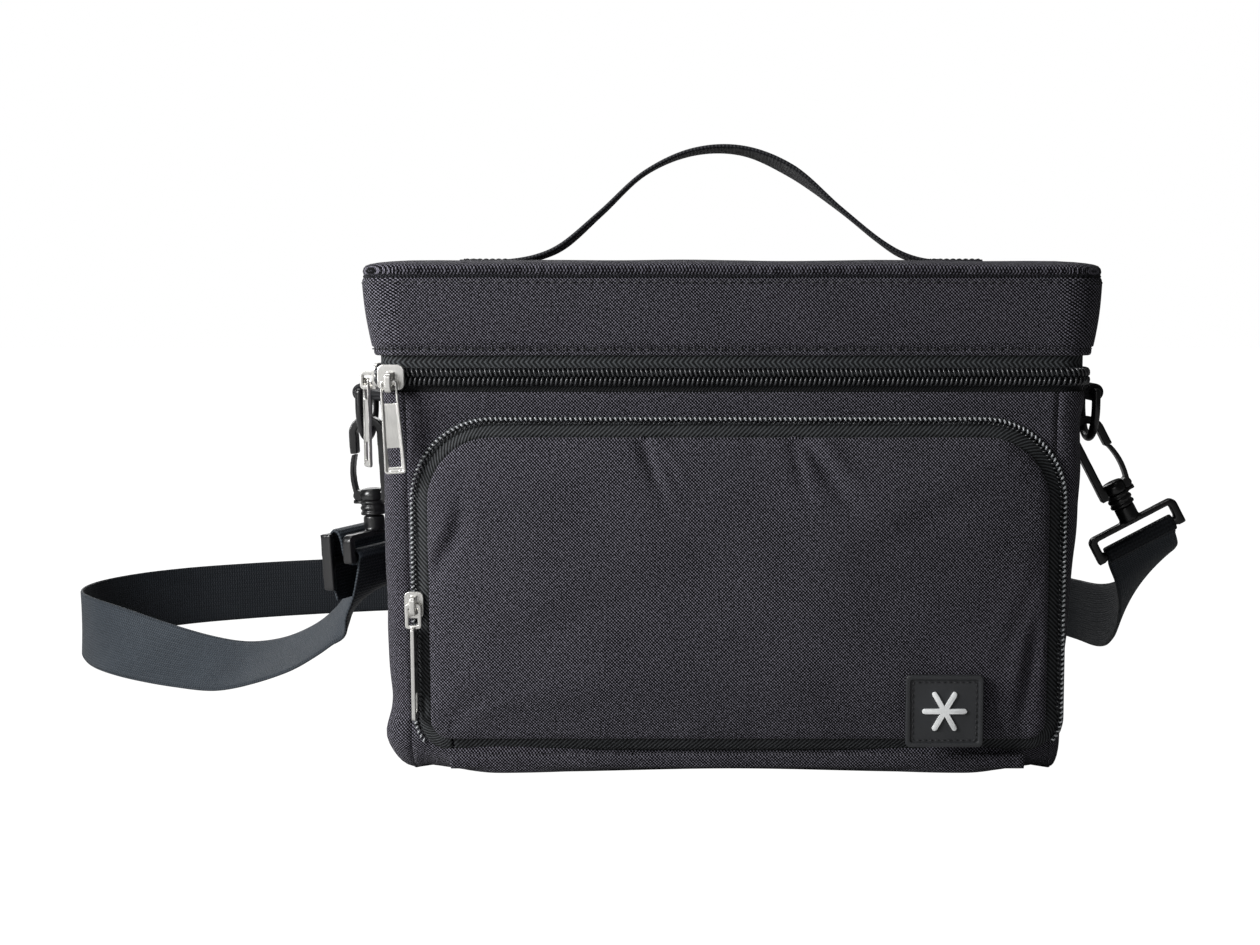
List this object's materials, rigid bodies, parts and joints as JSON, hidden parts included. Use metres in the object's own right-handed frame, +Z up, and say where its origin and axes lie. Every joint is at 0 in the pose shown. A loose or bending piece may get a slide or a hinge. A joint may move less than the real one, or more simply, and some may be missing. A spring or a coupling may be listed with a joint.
{
  "type": "insulated cooler bag",
  "caption": "Rectangular insulated lunch bag with a zipped flip-up lid, carry handle, zipped front pocket and a clip-on shoulder strap.",
  "frame": {"origin": "middle of the bag's base, on the surface it stands on", "axes": "+Z up, the front with the pocket faces -Y, +X to the right seen from the front"},
  "size_m": [0.5331, 0.3693, 0.2426],
  "materials": {
    "shell_fabric": "matt twill",
    "base_fabric": "matt coated fabric",
    "foam": "closed-cell foam",
    "board": "stiff sheet",
    "liner": "silver film",
    "binding": "woven binding",
    "zip_tape": "herringbone tape",
    "zip_coil": "polished nylon",
    "nickel": "satin nickel",
    "handle_webbing": "ribbed webbing",
    "strap_webbing": "ribbed webbing",
    "hook_plastic": "moulded acetal",
    "patch_rubber": "moulded rubber",
    "emblem_white": "raised moulding"
  },
  "bodies": {
    "bag_body": {"back_foam": "foam", "back_panel": "shell_fabric", "base_board": "board", "base_foam": "foam", "base_panel": "base_fabric", "front_foam": "foam", "front_panel": "shell_fabric", "hinge_strip": "shell_fabric", "left_foam": "foam", "left_panel": "shell_fabric", "liner_tub": "liner", "lower_zip_coil": "zip_coil", "lower_zip_tape": "zip_tape", "pocket_hem": "shell_fabric", "pocket_outer_coil": "zip_coil", "pocket_outer_tape": "zip_tape", "right_foam": "foam", "right_panel": "shell_fabric", "rim_binding": "binding", "side_tab_left": "strap_webbing", "side_tab_right": "strap_webbing", "zip_end_stops": "nickel"},
    "lid": {"lid_band": "shell_fabric", "lid_top_panel": "shell_fabric", "lid_seam_piping": "shell_fabric", "lid_hinge_strip": "shell_fabric", "lid_side_foam": "foam", "lid_top_foam": "foam", "lid_liner": "liner", "lid_rim_binding": "binding", "upper_zip_tape": "zip_tape", "upper_zip_coil": "zip_coil", "handle_end_left": "handle_webbing", "handle_end_right": "handle_webbing"},
    "carry_handle": {"carry_handle": "handle_webbing"},
    "front_slider": {"front_slider": "nickel"},
    "front_pull": {"front_slider_pull": "nickel"},
    "side_slider": {"side_slider": "nickel"},
    "side_pull": {"side_slider_pull": "nickel"},
    "pocket_flap": {"pocket_panel": "shell_fabric", "pocket_gusset": "zip_tape", "pocket_inner_coil": "zip_coil", "rubber_patch": "patch_rubber", "patch_emblem": "emblem_white"},
    "pocket_slider": {"pocket_slider": "nickel"},
    "pocket_pull": {"pocket_slider_pull": "nickel"},
    "d_ring_left": {"d_ring_left": "hook_plastic"},
    "d_ring_right": {"d_ring_right": "hook_plastic"},
    "strap": {"shoulder_strap": "strap_webbing", "shoulder_strap_right": "strap_webbing", "strap_adjusting_tail": "strap_webbing", "swivel_frame_left": "hook_plastic", "swivel_frame_right": "hook_plastic"},
    "tri_glide": {"tri_glide": "hook_plastic"},
    "hook_left": {"snap_hook_left": "hook_plastic"},
    "hook_right": {"snap_hook_right": "hook_plastic"},
    "gate_left": {"hook_gate_left": "hook_plastic"},
    "gate_right": {"hook_gate_right": "hook_plastic"}
  },
  "joints": [
    {"name": "lid_hinge", "type": "hinge", "parent": "bag_body", "child": "lid", "pos_m": [0, 0.0835, 0.15], "axis": [-1, 0, 0], "range_deg": [0, 105]},
    {"name": "handle_swing", "type": "hinge", "parent": "lid", "child": "carry_handle", "pos_m": [0, 0, 0.1949], "axis": [1, 0, 0], "range_deg": [-60, 60]},
    {"name": "front_slider_slide", "type": "slide", "parent": "bag_body", "child": "front_slider", "axis": [1, 0, 0], "range_m": [0, 0.245]},
    {"name": "front_pull_swing", "type": "hinge", "parent": "front_slider", "child": "front_pull", "pos_m": [-0.1255, -0.0915, 0.148], "axis": [-1, 0, 0], "range_deg": [0, 110]},
    {"name": "side_slider_slide", "type": "slide", "parent": "bag_body", "child": "side_slider", "axis": [0, 1, 0], "range_m": [0, 0.044]},
    {"name": "side_pull_swing", "type": "hinge", "parent": "side_slider", "child": "side_pull", "pos_m": [-0.14, -0.0625, 0.148], "axis": [0, 1, 0], "range_deg": [0, 110]},
    {"name": "pocket_hinge", "type": "hinge", "parent": "bag_body", "child": "pocket_flap", "pos_m": [0.002, -0.0828, 0.008], "axis": [1, 0, 0], "range_deg": [0, 75]},
    {"name": "pocket_slider_slide", "type": "slide", "parent": "pocket_flap", "child": "pocket_slider", "axis": [0, 0, 1], "range_m": [0, 0.032]},
    {"name": "pocket_pull_swing", "type": "hinge", "parent": "pocket_slider", "child": "pocket_pull", "pos_m": [-0.1186, -0.0887, 0.065], "axis": [-1, 0, 0], "range_deg": [0, 110]},
    {"name": "ring_tilt_left", "type": "hinge", "parent": "bag_body", "child": "d_ring_left", "pos_m": [-0.154, 0, 0.141], "axis": [0, 1, 0], "range_deg": [-5, 5]},
    {"name": "ring_tilt_right", "type": "hinge", "parent": "bag_body", "child": "d_ring_right", "pos_m": [0.1505, 0, 0.141], "axis": [0, 1, 0], "range_deg": [-5, 5]},
    {"name": "strap_swing", "type": "hinge", "parent": "bag_body", "child": "strap", "pos_m": [0, 0, 0.136], "axis": [1, 0, 0], "range_deg": [0, 40]},
    {"name": "hook_swivel_left", "type": "hinge", "parent": "strap", "child": "hook_left", "pos_m": [-0.15238, 0, 0.09074], "axis": [-0.0523, 0, 0.9986], "range_deg": [-10, 10]},
    {"name": "gate_left", "type": "hinge", "parent": "hook_left", "child": "gate_left", "pos_m": [-0.15821, 0, 0.09685], "axis": [0, 1, 0], "range_deg": [0, 14], "stiffness_Nm_per_rad": 0.02},
    {"name": "tri_glide_slide", "type": "slide", "parent": "strap", "child": "tri_glide", "axis": [-0.0523, 0, 0.9986], "range_m": [-0.0015, 0.001]},
    {"name": "hook_swivel_right", "type": "hinge", "parent": "strap", "child": "hook_right", "pos_m": [0.16505, 0, 0.09433], "axis": [-0.4695, 0, 0.8829], "range_deg": [-10, 10]},
    {"name": "gate_right", "type": "hinge", "parent": "hook_right", "child": "gate_right", "pos_m": [0.1669, 0, 0.10256], "axis": [0, -1, 0], "range_deg": [0, 14], "stiffness_Nm_per_rad": 0.02}
  ]
}
